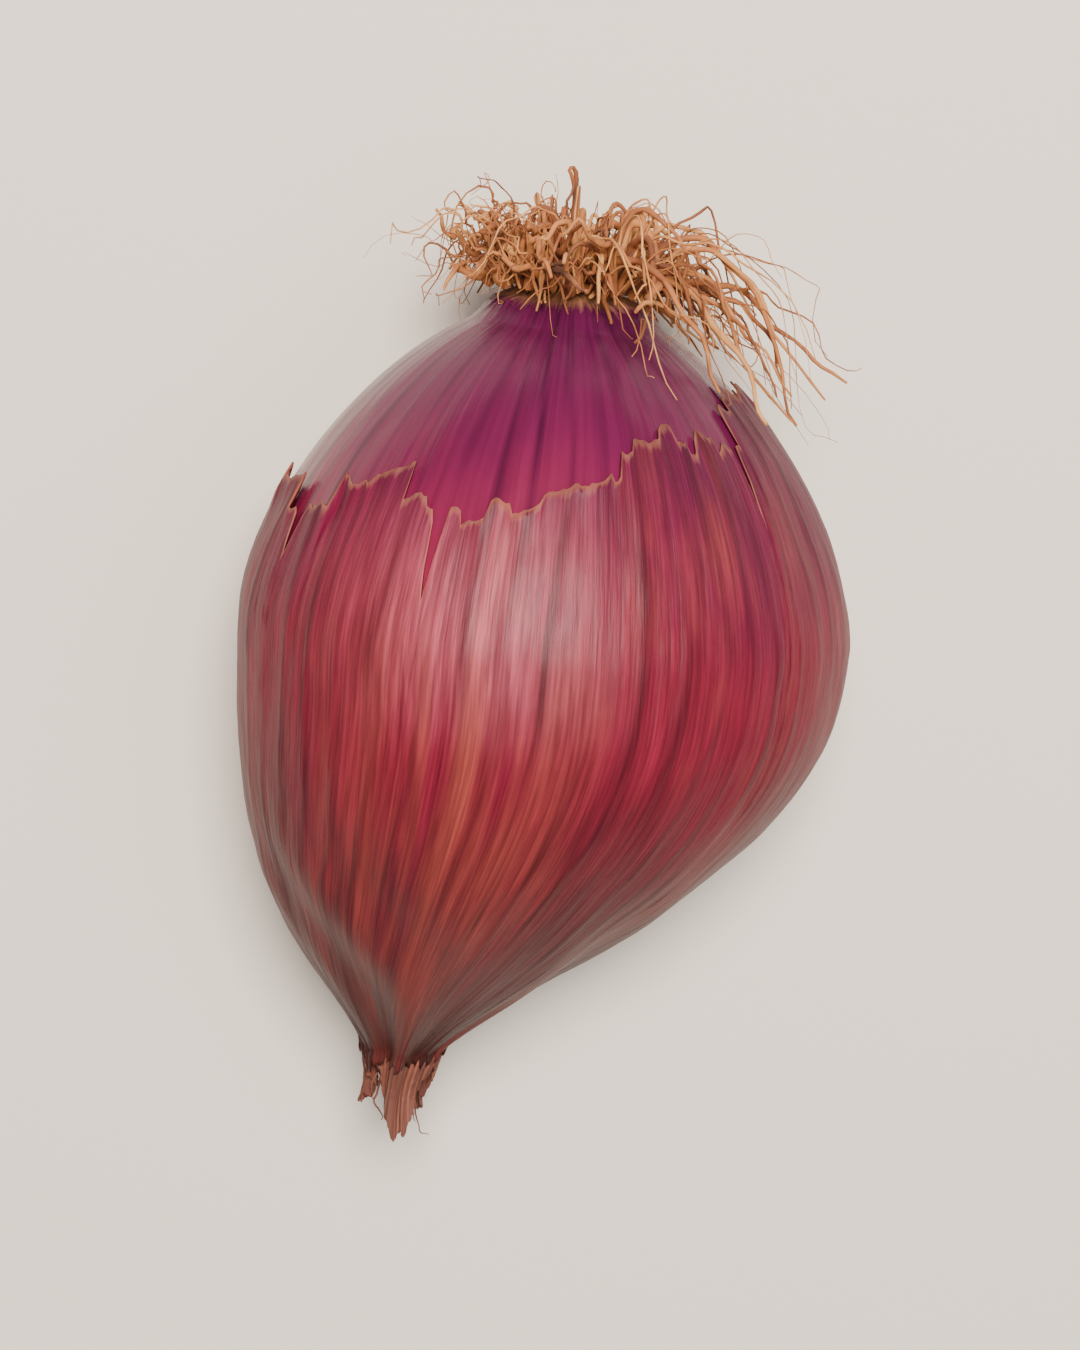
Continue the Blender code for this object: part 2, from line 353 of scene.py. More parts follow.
    # placing, with the belly flattened on the surface that it rests on
    lean = addNode(tree, rangeNode, {
        "Value": along, "interpolation_type": "SMOOTHSTEP",
        "From Min": s["leanFrom"], "From Max": s["leanTo"]})
    y = calc(tree, "MULTIPLY", radius, cosine)
    y = calc(tree, "MULTIPLY_ADD", lean, s["lean"], y)
    y = calc(tree, "ADD", y, s["middleY"])
    above = addNode(tree, rangeNode, {
        "Value": sine, "From Min": -0.1, "From Max": 0.1,
        "To Min": s["heightBelow"], "To Max": s["heightAbove"]})
    swell = addNode(tree, rangeNode, {
        "Value": radius, "interpolation_type": "SMOOTHSTEP", "From Max": s["widest"] / 2,
        "To Min": 1, "To Max": above})
    z = calc(tree, "MULTIPLY", radius, sine)
    z = calc(tree, "MULTIPLY", z, swell)
    z = calc(tree, "MULTIPLY_ADD", lean, s["droop"], z)
    z = calc(tree, "ADD", z, s["axisHeight"])
    z = calc(tree, "SMOOTH_MAX", z, given["Floor"], f["restSoftness"])
    onPlate = addNode(tree, rangeNode, {
        "Value": radius, "interpolation_type": "SMOOTHSTEP",
        "From Min": f["plateFrom"], "From Max": f["plateTo"],
        "To Min": given["Plate Rise"], "To Max": 0})
    cork = addNode(tree, noiseNode, {"Vector": peel, "Scale": 0.9, "Detail": 5, "Roughness": 0.7})
    cork = addNode(tree, rangeNode, {"Value": cork, "To Min": 0.3, "To Max": 1.6})
    onPlate = calc(tree, "MULTIPLY", onPlate, cork)
    x = calc(tree, "SUBTRACT", along, onPlate)
    x = calc(tree, "ADD", x, s["baseX"])
    spot = addNode(tree, combineNode, {"X": x, "Y": y, "Z": z})
    spot = addNode(tree, "ShaderNodeVectorMath", {"operation": "SCALE", 0: spot, "Scale": mm})

    sheet = grid
    for label, kind, value in (("peel", "FLOAT_VECTOR", peel), ("vein", "FLOAT", vein),
                               ("edge", "FLOAT", fromEdge)):
        sheet = addNode(tree, "GeometryNodeStoreNamedAttribute", {
            "data_type": kind, "domain": "POINT", "Geometry": sheet, "Name": label, "Value": value})
    sheet = addNode(tree, "GeometryNodeSetPosition", {"Geometry": sheet, "Position": spot})
    sheet = addNode(tree, "GeometryNodeMergeByDistance", {"Geometry": sheet, "Distance": 1e-6})
    sheet = addNode(tree, "GeometryNodeSetShadeSmooth", {"Geometry": sheet})
    sheet = addNode(tree, "GeometryNodeRealizeInstances", {"Geometry": sheet})
    sheet = addNode(tree, "GeometryNodeSetMaterial", {
        "Geometry": sheet, "Material": given["Material"]})
    addNode(tree, "NodeGroupOutput", {"Result": sheet})
    return tree


def layerPattern(tree):  # what a layer's pattern follows: its peel, the place along it, the angle
    peel = addNode(tree, "ShaderNodeAttribute", {"attribute_name": "peel"}).outputs["Vector"]
    parts = addNode(tree, splitNode, {0: peel})
    angle = calc(tree, "ARCTAN2", parts.outputs["Y"], parts.outputs["X"])
    return peel, parts.outputs["Z"], angle


def stretchedNoise(tree, peel, stretch, perMm, detail, roughness=0.5):  # drawn out along the veins
    room = addNode(tree, "ShaderNodeMapping", {"Vector": peel, "Scale": (1, 1, stretch)})
    return addNode(tree, noiseNode, {
        "Vector": room, "Scale": perMm, "Detail": detail, "Roughness": roughness})


def newMaterial(name):
    material = bpy.data.materials.new(name)
    material.use_nodes = True
    tree = material.node_tree
    return material, tree, tree.nodes["Principled BSDF"]


def makeDrySkin():  # dry outer scale of a red shallot: papery and ribbed, with a satin gloss
    look = {
        "along": ((0.0, "480c2e"), (0.22, "5e102e"), (0.42, "6a142a"), (0.68, "561824"),
                  (0.88, "461a1e"), (1.0, "381a18")),
        "copper": "7c3430",
        # painted highlight: the pale pink laid where the softbox's highlight falls
        "loose": "b05a68",
        "vein": "360816",
        "paper": "a06a50",
        "streakAngle": 103,
        "streakFrom": (10, 19),  # where the streak begins, and then where it fades
        "streakFades": (25, 35),
        "highlightAt": 14.0,
        "highlightReach": 7.5,
        "fibresPerMm": 2.2,
        "bandsPerMm": 0.6,
        "finePerMm": 6.5,
        "dryPatchesPerMm": 0.28,
        "roughness": (0.4, 0.56),
        "fibreDepth": 0.12 * mm,
        "ior": 1.4,
        "specular": 0.27,
    }
    material, tree, shader = newMaterial("dryShallotSkin")
    peel, along, angle = layerPattern(tree)
    run = addNode(tree, rangeNode, {"Value": along, "From Min": 4, "From Max": 38})
    cloud = addNode(tree, noiseNode, {"Vector": peel, "Scale": 0.16, "Detail": 3})
    run = calc(tree, "MULTIPLY_ADD", cloud, 0.4, run)
    run = calc(tree, "SUBTRACT", run, 0.2)
    colour = addNode(tree, "ShaderNodeValToRGB", {"Fac": run, "stops": look["along"]})

    # fibres run lengthwise, with finer ones between them
    fibre = stretchedNoise(tree, peel, 0.07, look["fibresPerMm"], 5, 0.6)
    broad = stretchedNoise(tree, peel, 0.07, look["bandsPerMm"], 3)
    fine = stretchedNoise(tree, peel, 0.035, look["finePerMm"], 2)

    # a coppery dry streak from the highlight to the neck
    off = calc(tree, "SUBTRACT", angle, math.radians(look["streakAngle"]))
    off = calc(tree, "ABSOLUTE", off)
    streak = addNode(tree, rangeNode, {
        "Value": off, "From Min": 0.05, "From Max": 0.55, "To Min": 1, "To Max": 0})
    begun = addNode(tree, rangeNode, {
        "Value": along, "interpolation_type": "SMOOTHSTEP",
        "From Min": look["streakFrom"][0], "From Max": look["streakFrom"][1]})
    streak = calc(tree, "MULTIPLY", streak, begun)
    faded = addNode(tree, rangeNode, {
        "Value": along, "From Min": look["streakFades"][0], "From Max": look["streakFades"][1],
        "To Min": 1, "To Max": 0.35})
    streak = calc(tree, "MULTIPLY", streak, faded)
    patchy = addNode(tree, rangeNode, {"Value": broad, "From Min": 0.38, "From Max": 0.6})
    streak = calc(tree, "MULTIPLY", streak, patchy)
    copper = addNode(tree, mixNode, {
        "data_type": "RGBA", "Factor": streak, "A": colour, "B": hexColour(look["copper"])})

    dry = stretchedNoise(tree, peel, 0.3, look["dryPatchesPerMm"], 5, 0.6)
    dry = addNode(tree, rangeNode, {
        "Value": dry, "From Min": 0.5, "From Max": 0.72, "To Max": 0.55})
    patched = addNode(tree, mixNode, {
        "data_type": "RGBA", "Factor": dry, "A": copper, "B": hexColour(look["copper"])})
    vein = addNode(tree, "ShaderNodeAttribute", {"attribute_name": "vein"}).outputs["Fac"]
    veined = calc(tree, "MULTIPLY", vein, 0.75)

    # painted highlight: a pale pink patch laid on the skin around the place where the softbox's
    # highlight falls
    beside = addNode(tree, rangeNode, {
        "Value": off, "interpolation_type": "SMOOTHSTEP", "From Min": 0.1, "From Max": 0.62,
        "To Min": 1, "To Max": 0})
    fromHighlight = calc(tree, "SUBTRACT", along, look["highlightAt"])
    fromHighlight = calc(tree, "ABSOLUTE", fromHighlight)
    above = addNode(tree, rangeNode, {
        "Value": fromHighlight, "interpolation_type": "SMOOTHSTEP",
        "From Min": 1, "From Max": look["highlightReach"], "To Min": 0.42, "To Max": 0})
    paintedHighlight = calc(tree, "MULTIPLY", beside, above)
    uneven = addNode(tree, rangeNode, {
        "Value": fibre, "From Min": 0.32, "From Max": 0.62, "To Min": 0.35, "To Max": 1})
    paintedHighlight = calc(tree, "MULTIPLY", paintedHighlight, uneven)
    patched = addNode(tree, mixNode, {
        "data_type": "RGBA", "Factor": paintedHighlight, "A": patched, "B": hexColour(look["loose"])})
    veinColour = addNode(tree, mixNode, {
        "data_type": "RGBA", "Factor": veined, "A": patched, "B": hexColour(look["vein"])})
    shade = addNode(tree, rangeNode, {
        "Value": fibre, "From Min": 0.3, "From Max": 0.7, "To Min": 0.72, "To Max": 1.2})
    fineShade = addNode(tree, rangeNode, {
        "Value": fine, "From Min": 0.32, "From Max": 0.68, "To Min": 0.72, "To Max": 1.22})
    shade = calc(tree, "MULTIPLY", shade, fineShade)
    fibred = addNode(tree, mixNode, {
        "data_type": "RGBA", "blend_type": "MULTIPLY", "Factor": 1, "A": veinColour, "B": shade})
    edge = addNode(tree, "ShaderNodeAttribute", {"attribute_name": "edge"}).outputs["Fac"]
    frayed = addNode(tree, rangeNode, {
        "Value": fibre, "From Min": 0.35, "From Max": 0.65, "To Min": 0.12, "To Max": 0.6})
    pale = addNode(tree, rangeNode, {
        "Value": edge, "From Max": frayed, "To Min": 0.46, "To Max": 0})
    final = addNode(tree, mixNode, {
        "data_type": "RGBA", "Factor": pale, "A": fibred, "B": hexColour(look["paper"])})
    tree.links.new(pickSocket(final.outputs, "Result"), shader.inputs["Base Color"])

    rough = addNode(tree, rangeNode, {
        "Value": broad, "To Min": look["roughness"][0], "To Max": look["roughness"][1]})
    tree.links.new(rough.outputs[0], shader.inputs["Roughness"])
    relief = calc(tree, "MULTIPLY_ADD", fine, 0.4, fibre)
    bump = addNode(tree, "ShaderNodeBump", {
        "Strength": 0.5, "Distance": look["fibreDepth"], "Height": relief})
    tree.links.new(bump.outputs[0], shader.inputs["Normal"])
    shader.inputs["IOR"].default_value = look["ior"]
    shader.inputs["Specular IOR Level"].default_value = look["specular"]
    return material


def makeInnerSkin():  # moist inner scale: smooth, glossy, purple with paler bands between its veins
    look = {
        "along": ((0.0, "4a1036"), (0.15, "561338"), (0.27, "6a1a3a"), (0.36, "741c36"),
                  (0.55, "581824"), (1.0, "3c1a1a")),
        "vein": "360a26",
        "cork": "9a6e48",
        "fibresPerMm": 1.8,
        "corkGrainPerMm": 1.4,
        "corkEnds": (1.0, 1.5),
        "roughness": (0.24, 0.85),  # of the moist skin, and of the cork under the roots
        "fibreDepth": 0.1 * mm,
        "ior": 1.4,
        "specular": 0.35,
    }
    material, tree, shader = newMaterial("innerShallotSkin")
    peel, along = layerPattern(tree)[:2]
    run = addNode(tree, rangeNode, {"Value": along, "From Min": 1, "From Max": 34})
    cloud = addNode(tree, noiseNode, {"Vector": peel, "Scale": 0.2, "Detail": 3})
    run = calc(tree, "MULTIPLY_ADD", cloud, 0.2, run)
    run = calc(tree, "SUBTRACT", run, 0.1)
    colour = addNode(tree, "ShaderNodeValToRGB", {"Fac": run, "stops": look["along"]})
    fibre = stretchedNoise(tree, peel, 0.06, look["fibresPerMm"], 4)
    vein = addNode(tree, "ShaderNodeAttribute", {"attribute_name": "vein"}).outputs["Fac"]
    veinColour = addNode(tree, mixNode, {
        "data_type": "RGBA", "Factor": vein, "A": colour, "B": hexColour(look["vein"])})
    shade = addNode(tree, rangeNode, {
        "Value": fibre, "From Min": 0.3, "From Max": 0.7, "To Min": 0.8, "To Max": 1.2})
    fibred = addNode(tree, mixNode, {
        "data_type": "RGBA", "blend_type": "MULTIPLY", "Factor": 1, "A": veinColour, "B": shade})
    grain = addNode(tree, noiseNode, {
        "Vector": peel, "Scale": look["corkGrainPerMm"], "Detail": 5, "Roughness": 0.65})
    plate = calc(tree, "MULTIPLY_ADD", grain, 0.9, along)
    plate = addNode(tree, rangeNode, {
        "Value": plate, "From Min": look["corkEnds"][0], "From Max": look["corkEnds"][1],
        "To Min": 1, "To Max": 0})
    corky = addNode(tree, mixNode, {
        "data_type": "RGBA", "Factor": plate, "A": fibred, "B": hexColour(look["cork"])})
    tree.links.new(pickSocket(corky.outputs, "Result"), shader.inputs["Base Color"])
    rough = addNode(tree, rangeNode, {
        "Value": plate, "To Min": look["roughness"][0], "To Max": look["roughness"][1]})
    tree.links.new(rough.outputs[0], shader.inputs["Roughness"])
    bump = addNode(tree, "ShaderNodeBump", {
        "Strength": 0.3, "Distance": look["fibreDepth"], "Height": fibre})
    tree.links.new(bump.outputs[0], shader.inputs["Normal"])
    shader.inputs["IOR"].default_value = look["ior"]
    shader.inputs["Specular IOR Level"].default_value = look["specular"]
    return material


def makeDryLeaf():  # dead leaf at the neck: brittle and matt, brown with straw fibres
    look = {
        "across": ((0.25, "2e1814"), (0.45, "52281f"), (0.6, "724030"), (0.8, "9a6c4c")),
        "fibresPerMm": 1.1,
        "fibreDepth": 0.15 * mm,
        "roughness": 0.7,
    }
    material, tree, shader = newMaterial("driedNeckLeaf")
    peel = layerPattern(tree)[0]
    fibre = stretchedNoise(tree, peel, 0.1, look["fibresPerMm"], 6, 0.65)
    colour = addNode(tree, "ShaderNodeValToRGB", {"Fac": fibre, "stops": look["across"]})
    tree.links.new(colour.outputs[0], shader.inputs["Base Color"])
    bump = addNode(tree, "ShaderNodeBump", {
        "Strength": 0.7, "Distance": look["fibreDepth"], "Height": fibre})
    tree.links.new(bump.outputs[0], shader.inputs["Normal"])
    shader.inputs["Roughness"].default_value = look["roughness"]
    return material


layerTree = buildLayerTree()
drySkin = makeDrySkin()
innerSkin = makeInnerSkin()
dryLeaf = makeDryLeaf()

bulbBody = {
    "Columns": 241, "Rows": 190, "Row Spacing": 2.0,
    "Middle Angle": math.radians(90), "Half Angle": math.pi, "Tip Width": 1.0, "Side Tear": 0.0,
    "Starts At": 0.0, "Slant": 0.0, "Tear": 0.0, "Step Tear": 0.0, "Crack Depth": 0.0,
    "Ends At": spindle["neckTip"], "End Tear": 0.0, "Closes At": spindle["neckTip"],
    "Lift": -0.36, "Edge Curl": 0.0, "Tip Flare": 0.0,
    "Vein Count": 46, "Vein Height": 0.035, "Pleat Depth": 0.42,
    "Crinkle": 0.16, "Plate Rise": plateRise, "Floor": 0.22, "Seed": 3.0, "Material": innerSkin,
}
outerSkin = {
    "Columns": 441, "Rows": 100, "Row Spacing": 1.0,
    "Middle Angle": math.radians(90), "Half Angle": math.radians(166), "Tip Width": 1.0,
    "Side Tear": 0.03,
    "Starts At": 7.6, "Slant": 3.0, "Tear": 2.0, "Step Tear": 0.7, "Crack Depth": 1.0,
    "Ends At": 39.0, "End Tear": 2.0, "Closes At": 99.0,
    "Lift": 0.0, "Edge Curl": 0.35, "Tip Flare": 0.0,
    "Vein Count": 46, "Vein Height": 0.07, "Pleat Depth": 0.42,
    "Crinkle": 0.22, "Plate Rise": 0.0, "Floor": 0.03, "Seed": 11.0, "Material": drySkin,
}
skinWall = 0.09 * mm

bulb = growPiece("bulb_body", layerTree, bulbBody)
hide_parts("bulb")
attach(bulb, "root")
skin = growPiece("dry_skin", layerTree, outerSkin, skinWall)
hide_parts("outer_skin")
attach(skin, "root")

neckLeaf = {
    "Columns": 34, "Rows": 60, "Row Spacing": 1.0, "Tip Width": 0.16, "Side Tear": 0.35,
    "Starts At": 37.2, "Slant": 0.0, "Tear": 0.3, "Step Tear": 0.0, "Crack Depth": 0.0,
    "End Tear": 1.0, "Closes At": 99.0, "Lift": -0.2, "Edge Curl": 0.0,
    "Vein Count": 30, "Vein Height": 0.05, "Pleat Depth": 0.4,
    "Crinkle": 0.5, "Plate Rise": 0.0, "Floor": 0.03, "Material": dryLeaf,
}
neckLeaves = (  # node, middle angle and half angle in degrees, where it ends, flare, seed
    ("neck_leaf_1", 75, 62, 42.6, 0.7, 21.0),
    ("neck_leaf_2", 195, 66, 41.6, 0.5, 27.0),
    ("neck_leaf_3", 315, 60, 42.2, 0.6, 35.0),
)
for node, middle, half, endsAt, flare, seed in neckLeaves:
    leaf = growPiece(node.replace("leaf", "sheath"), layerTree, {
        **neckLeaf, "Middle Angle": math.radians(middle), "Half Angle": math.radians(half),
        "Ends At": endsAt, "Tip Flare": flare, "Seed": seed}, skinWall)
    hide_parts(node)
    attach(leaf, "root")


# ---- roots ----
strandHabit = {  # lengths in millimetres
    "spacingTurn": math.radians(137.5),
    "drift": 0.7,  # how far a strand may wander round the patch, in radians
    "reachShare": (0.45, 1.1),
    "riseShare": (0.3, 1.2),
    "shoulderGap": 0.9,
    "plateGap": 0.55,
    "restGap": 0.5,
    "tipShare": 0.3,
    "knobs": (0.75, 1.25),
    "thicknessShare": (0.5, 1.2),
}


def buildStrandTree():  # a tuft of dried strands growing from a round patch, in millimetres
    s = spindle
    h = strandHabit
    tree = newTree("strandTuft", (
        ("Count", "Int"), ("Points", "Int"), ("Sides", "Int"), ("Direction", "Float"),
        ("Centre", "Vector"), ("Patch Radius", "Float"), ("Reach", "Float"),
        ("Side Reach", "Float"), ("Rise", "Float"), ("Curl From", "Float"), ("Curl To", "Float"),
        ("Side Curl", "Float"), ("Side Droop", "Float"),
        ("Thickness", "Float"), ("Wiggle", "Float"), ("Seed", "Int"), ("Material", "Material"),
    ))
    given = addNode(tree, "NodeGroupInput").outputs
    spots = addNode(tree, "GeometryNodePoints", {"Count": given["Count"]})
    line = addNode(tree, "GeometryNodeCurvePrimitiveLine")
    line = addNode(tree, "GeometryNodeResampleCurve", {"Curve": line, "Count": given["Points"]})
    strands = addNode(tree, "GeometryNodeInstanceOnPoints", {"Points": spots, "Instance": line})
    strands = addNode(tree, "GeometryNodeRealizeInstances", {"Geometry": strands})

    number = addNode(tree, "GeometryNodeFieldOnDomain", {
        "data_type": "INT", "domain": "CURVE", 0: addNode(tree, "GeometryNodeInputIndex")})
    share = addNode(tree, "GeometryNodeSplineParameter").outputs["Factor"]
    chances = []
    for step in range(6):
        seed = calc(tree, "ADD", given["Seed"], step)
        chances.append(addNode(tree, randomNode, {"ID": number, "Seed": seed}))
    reachChance, riseChance, curlChance, thickChance, driftChance, toneChance = chances

    # sunflower spacing over the patch, so that no two strands start together
    turn = calc(tree, "MULTIPLY", number, h["spacingTurn"])
    inward = calc(tree, "ADD", number, 0.5)
    inward = calc(tree, "DIVIDE", inward, given["Count"])
    inward = calc(tree, "SQRT", inward)
    ring = calc(tree, "MULTIPLY", inward, given["Patch Radius"])
    drift = addNode(tree, rangeNode, {
        "Value": driftChance, "To Min": -h["drift"], "To Max": h["drift"]})
    turn = calc(tree, "MULTIPLY_ADD", drift, share, turn)
    cosine = calc(tree, "COSINE", turn)
    sine = calc(tree, "SINE", turn)

    # how far each strand reaches sideways and out
    reach = calc(tree, "MULTIPLY_ADD", cosine, given["Side Reach"], given["Reach"])
    reachShare = addNode(tree, rangeNode, {
        "Value": reachChance, "To Min": h["reachShare"][0], "To Max": h["reachShare"][1]})
    reach = calc(tree, "MULTIPLY", reach, reachShare)
    splay = calc(tree, "POWER", inward, 0.8)
    reach = calc(tree, "MULTIPLY", reach, splay)
    outward = calc(tree, "POWER", share, 1.25)
    radial = calc(tree, "MULTIPLY_ADD", reach, outward, ring)
    rise = addNode(tree, rangeNode, {
        "Value": riseChance, "To Min": h["riseShare"][0], "To Max": h["riseShare"][1]})
    rise = calc(tree, "MULTIPLY", rise, given["Rise"])
    rightward = calc(tree, "MAXIMUM", cosine, 0)
    outerRise = calc(tree, "MULTIPLY_ADD", rightward, 0.35, 0.6)
    lower = addNode(tree, rangeNode, {"Value": inward, "To Min": 1, "To Max": outerRise})
    rise = calc(tree, "MULTIPLY", rise, lower)
    curl = addNode(tree, rangeNode, {
        "Value": curlChance, "To Min": given["Curl From"], "To Max": given["Curl To"]})
    curl = calc(tree, "MULTIPLY_ADD", cosine, given["Side Curl"], curl)
    bend = calc(tree, "MULTIPLY", curl, share)
    bend = calc(tree, "SINE", bend)
    height = calc(tree, "MULTIPLY", rise, bend)
    droop = calc(tree, "POWER", share, 2)
    droop = calc(tree, "MULTIPLY", droop, rightward)
    droop = calc(tree, "MULTIPLY", droop, given["Side Droop"])
    height = calc(tree, "SUBTRACT", height, droop)

    wander = addNode(tree, combineNode, {
        "X": calc(tree, "MULTIPLY", number, 3.7),
        "Y": calc(tree, "MULTIPLY", share, 3.0),
        "Z": given["Seed"]})
    wander = addNode(tree, noiseNode, {"Vector": wander, "Scale": 1, "Detail": 1}).outputs["Color"]
    wander = addNode(tree, "ShaderNodeVectorMath", {
        "operation": "SUBTRACT", 0: wander, 1: (0.5, 0.5, 0.5)})
    amount = calc(tree, "MULTIPLY", share, given["Wiggle"])
    wander = addNode(tree, "ShaderNodeVectorMath", {
        "operation": "SCALE", 0: wander, "Scale": amount})
    wanderParts = addNode(tree, splitNode, {0: wander})
    height = calc(tree, "ADD", height, wanderParts.outputs["X"])
    radial = calc(tree, "ADD", radial, wanderParts.outputs["Y"])

    # a strand that curls back lies on the bulb's shoulder and doesn't enter it
    shoulder = calc(tree, "SUBTRACT", radial, h["shoulderGap"])
    shoulder = calc(tree, "DIVIDE", shoulder, s["widest"])
    shoulder = calc(tree, "MAXIMUM", shoulder, 0)
    shoulder = calc(tree, "MINIMUM", shoulder, 1)
    shoulder = calc(tree, "POWER", shoulder, 1 / s["rootRounding"])
    shoulder = calc(tree, "SUBTRACT", 1, shoulder)
    shoulder = calc(tree, "POWER", shoulder, 1 / s["rootPower"])
    shoulder = calc(tree, "SUBTRACT", shoulder, 1)
    shoulder = calc(tree, "MULTIPLY_ADD", shoulder, s["widestAt"], h["plateGap"])
    height = calc(tree, "SMOOTH_MAX", height, shoulder, 0.6)

    y = calc(tree, "MULTIPLY", radial, cosine)
    z = calc(tree, "MULTIPLY", radial, sine)
    # hanging strands end on the surface that the shallot rests on
    z = calc(tree, "SMOOTH_MAX", z, h["restGap"] - s["axisHeight"], 0.8)
    x = calc(tree, "MULTIPLY", height, given["Direction"])
    spot = addNode(tree, combineNode, {"X": x, "Y": y, "Z": z})
    spot = addNode(tree, "ShaderNodeVectorMath", {"operation": "ADD", 0: spot, 1: given["Centre"]})
    spot = addNode(tree, "ShaderNodeVectorMath", {"operation": "SCALE", 0: spot, "Scale": mm})
    strands = addNode(tree, "GeometryNodeSetPosition", {"Geometry": strands, "Position": spot})

    taper = addNode(tree, rangeNode, {"Value": share, "To Min": 1, "To Max": h["tipShare"]})
    knobs = addNode(tree, combineNode, {
        "X": calc(tree, "MULTIPLY", number, 1.9),
        "Y": calc(tree, "MULTIPLY", share, 9.0)})
    knobs = addNode(tree, noiseNode, {"Vector": knobs, "Scale": 1, "Detail": 2})
    knobs = addNode(tree, rangeNode, {
        "Value": knobs, "From Min": 0.3, "From Max": 0.7,
        "To Min": h["knobs"][0], "To Max": h["knobs"][1]})
    thick = addNode(tree, rangeNode, {
        "Value": thickChance, "To Min": h["thicknessShare"][0], "To Max": h["thicknessShare"][1]})
    thick = calc(tree, "MULTIPLY", thick, given["Thickness"])
    thick = calc(tree, "MULTIPLY", thick, taper)
    thick = calc(tree, "MULTIPLY", thick, knobs)
    thick = calc(tree, "MULTIPLY", thick, mm)
    for label, value in (("tone", toneChance), ("share", share)):
        strands = addNode(tree, "GeometryNodeStoreNamedAttribute", {
            "data_type": "FLOAT", "domain": "POINT", "Geometry": strands,
            "Name": label, "Value": value})
    ringShape = addNode(tree, "GeometryNodeCurvePrimitiveCircle", {
        "Resolution": given["Sides"], "Radius": 1})
    tubes = addNode(tree, "GeometryNodeCurveToMesh", {
        "Curve": strands, "Profile Curve": ringShape, "Scale": thick, "Fill Caps": True})
    tubes = addNode(tree, "GeometryNodeMergeByDistance", {"Geometry": tubes, "Distance": 1e-7})
    tubes = addNode(tree, "GeometryNodeSetShadeSmooth", {"Geometry": tubes})
    tubes = addNode(tree, "GeometryNodeRealizeInstances", {"Geometry": tubes})
    tubes = addNode(tree, "GeometryNodeSetMaterial", {
        "Geometry": tubes, "Material": given["Material"]})
    addNode(tree, "NodeGroupOutput", {"Result": tubes})
    return tree


def makeDryRoot():  # dried adventitious root: wiry, shrivelled, straw gold to brown, quite matt
    look = {
        "tones": ((0.1, "42200f"), (0.35, "7c4522"), (0.6, "a06434"), (0.9, "c08c54")),
        "grain": 1.6 * mm,
        "grainDepth": 0.08 * mm,
        "roughness": 0.75,
    }
    material, tree, shader = newMaterial("driedRoot")
    place = addNode(tree, "ShaderNodeTexCoord").outputs["Object"]
    tone = addNode(tree, "ShaderNodeAttribute", {"attribute_name": "tone"}).outputs["Fac"]
    share = addNode(tree, "ShaderNodeAttribute", {"attribute_name": "share"}).outputs["Fac"]
    grain = addNode(tree, noiseNode, {"Vector": place, "Scale": 1 / look["grain"], "Detail": 4})
    mixed = calc(tree, "MULTIPLY_ADD", tone, 0.55, grain)
    mixed = calc(tree, "MULTIPLY_ADD", share, 0.15, mixed)
    mixed = calc(tree, "SUBTRACT", mixed, 0.32)
    colour = addNode(tree, "ShaderNodeValToRGB", {"Fac": mixed, "stops": look["tones"]})
    tree.links.new(colour.outputs[0], shader.inputs["Base Color"])
    bump = addNode(tree, "ShaderNodeBump", {
        "Strength": 0.5, "Distance": look["grainDepth"], "Height": grain})
    tree.links.new(bump.outputs[0], shader.inputs["Normal"])
    shader.inputs["Roughness"].default_value = look["roughness"]
    return material


strandTree = buildStrandTree()
dryRoot = makeDryRoot()
plateCentre = (spindle["baseX"] - 0.2, spindle["middleY"], spindle["axisHeight"])
rootTuft = {
    "Count": 120, "Points": 24, "Sides": 7, "Direction": -1.0, "Centre": plateCentre,
    "Patch Radius": 4.0, "Reach": 6.8, "Side Reach": 3.6, "Rise": 4.6,
    "Curl From": math.radians(90), "Curl To": math.radians(215), "Side Curl": math.radians(25),
    "Side Droop": 4.5, "Thickness": 0.25, "Wiggle": 4.6, "Seed": 4, "Material": dryRoot,
}
rootHairs = {
    "Count": 170, "Points": 26, "Sides": 4, "Direction": -1.0, "Centre": plateCentre,
    "Patch Radius": 4.3, "Reach": 7.8, "Side Reach": 3.4, "Rise": 4.8,
    "Curl From": math.radians(80), "Curl To": math.radians(235), "Side Curl": math.radians(20),
    "Side Droop": 4.5, "Thickness": 0.08, "Wiggle": 7.0, "Seed": 40, "Material": dryRoot,
}
neckFibres = {
    "Count": 16, "Points": 14, "Sides": 5, "Direction": 1.0,
    "Centre": (spindle["baseX"] + 39.5, spindle["middleY"] + spindle["lean"],
               spindle["axisHeight"] + spindle["droop"]),
    "Patch Radius": 1.2, "Reach": 0.9, "Side Reach": 0.3, "Rise": 3.4,
    "Curl From": math.radians(60), "Curl To": math.radians(100), "Side Curl": 0.0,
    "Side Droop": 0.0, "Thickness": 0.11, "Wiggle": 1.6, "Seed": 70, "Material": dryLeaf,
}
roots = growPiece("root_tuft", strandTree, rootTuft)
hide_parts(*[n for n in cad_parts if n.startswith("root_")])
for piece, slotName in ((roots, "dried_root"),
                        (growPiece("root_hairs", strandTree, rootHairs), "dried_root"),
                        (growPiece("neck_fibres", strandTree, neckFibres), "dried_leaf")):
    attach(piece, "root")


# ---- floor, light and camera ----
setting = {
    "floorSize": 12.0,
    "floor": "d4cec6",
    "world": "e6e3df",
    "worldStrength": 0.2,
    "wallStrength": 1.5,
    "skyStrength": 1.35,
    "skyAngleDegrees": 50,
    "skyTurnDegrees": (-18, -6),
    "lensMm": 85,
    "sensorMm": 36,
    "frameHeight": 0.066,
    "rollDegrees": 5,
    "tiltDegrees": 10,
    "softboxPlace": (-0.15, 0.02, 0.39),
    "softboxSize": 0.15,
    "softboxWatts": 4.5,
    "softboxColour": "fff0e2",
}


